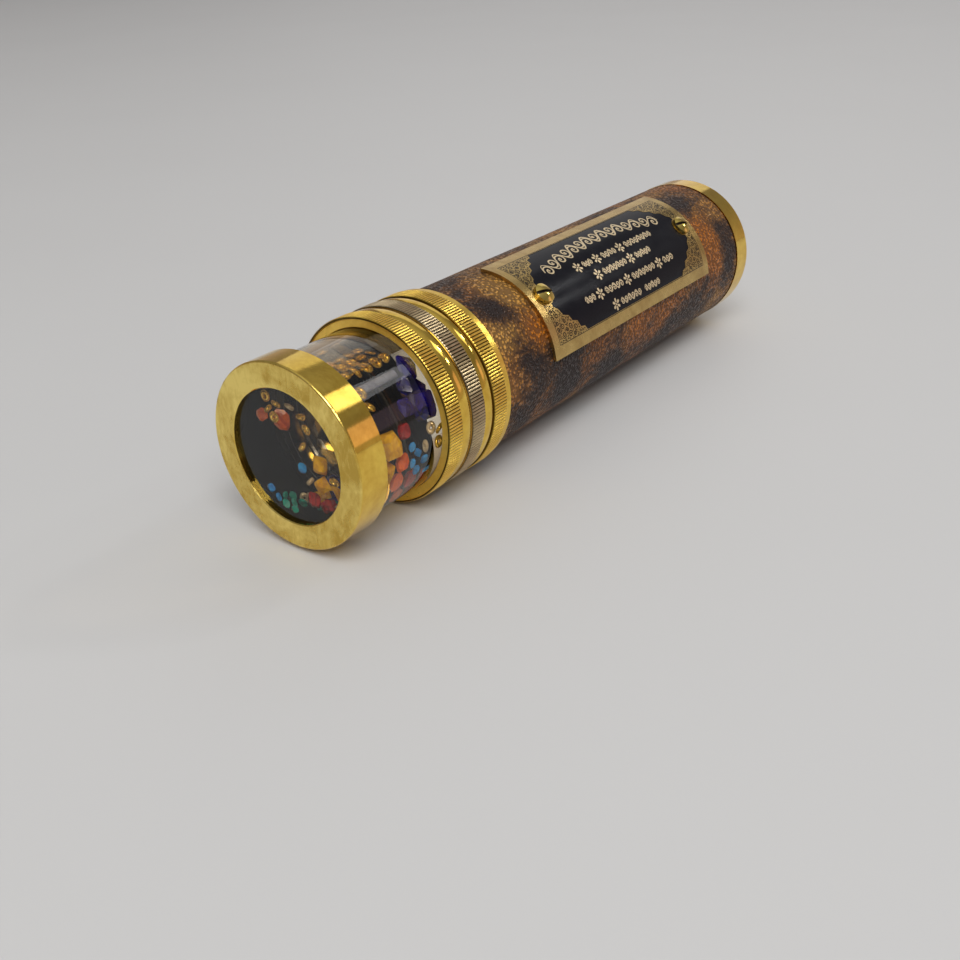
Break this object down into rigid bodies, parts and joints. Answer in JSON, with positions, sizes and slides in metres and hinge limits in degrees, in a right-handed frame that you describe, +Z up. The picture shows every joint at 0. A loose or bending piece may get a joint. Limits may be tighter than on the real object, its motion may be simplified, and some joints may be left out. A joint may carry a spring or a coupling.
{
  "type": "oil kaleidoscope",
  "caption": "Brass kaleidoscope: a leather-wrapped tube with a curved nameplate and mirrors inside, and a knurled head that turns a clear cell of oil and coloured glass.",
  "frame": {"origin": "under the middle of the object, on the surface that it lies on", "axes": "+Y along the tube's axis from the bezel to the eyepiece, +Z up, +X to the side that the nameplate faces"},
  "size_m": [0.0418, 0.167, 0.0418],
  "materials": {
    "brass": "polished, lacquered",
    "dark_nickel": "darkened nickel plate over brass",
    "cell_acrylic": "clear, polished",
    "seal_rubber": "matt",
    "oil": "clear, faintly yellow",
    "gold_bead": "metallic gold coat",
    "clear_bead": "clear, silver lined",
    "cobalt": "deep transparent blue",
    "yellow": "transparent amber yellow",
    "orange": "opaque orange",
    "red": "deep transparent red",
    "teal": "opaque teal",
    "sky": "opaque sky blue",
    "rod_glass": "clear, pale blue",
    "optical_glass": "clear, polished",
    "spring_steel": "bright",
    "leather": "glossy, marbled dark brown and tan",
    "mirror_silver": "front silvered",
    "black_plastic": "matt black",
    "enamel": "black enamel with fine gold ornament"
  },
  "bodies": {
    "tube_body": {"body_collar": "brass", "retaining_ring": "brass", "object_glass": "optical_glass", "glass_clip": "spring_steel", "body_tube": "brass", "leather_sleeve": "leather", "mirror_upper_near": "mirror_silver", "mirror_upper_far": "mirror_silver", "mirror_lower": "mirror_silver", "front_mirror_holder": "black_plastic", "rear_mirror_holder": "black_plastic", "eye_ring": "black_plastic", "eye_glass": "optical_glass", "eyepiece_cap": "brass", "nameplate": "brass", "nameplate_enamel": "enamel", "nameplate_screws": "brass"},
    "cell_head": {"front_bezel": "brass", "front_window": "cell_acrylic", "front_seal": "seal_rubber", "cell_tube": "cell_acrylic", "rear_seal": "seal_rubber", "rear_window": "cell_acrylic", "cell_holder": "brass", "turning_ring": "dark_nickel", "oil_fill": "oil", "gold_beads": "gold_bead", "clear_beads": "clear_bead", "cobalt_glass": "cobalt", "yellow_glass": "yellow", "orange_glass": "orange", "red_glass": "red", "teal_flakes": "teal", "sky_flakes": "sky", "glass_rod": "rod_glass"}
  },
  "joints": [
    {"name": "head_turn", "type": "hinge", "parent": "tube_body", "child": "cell_head", "pos_m": [0, -0.0457, 0.0209], "axis": [0, 1, 0], "continuous": true}
  ]
}
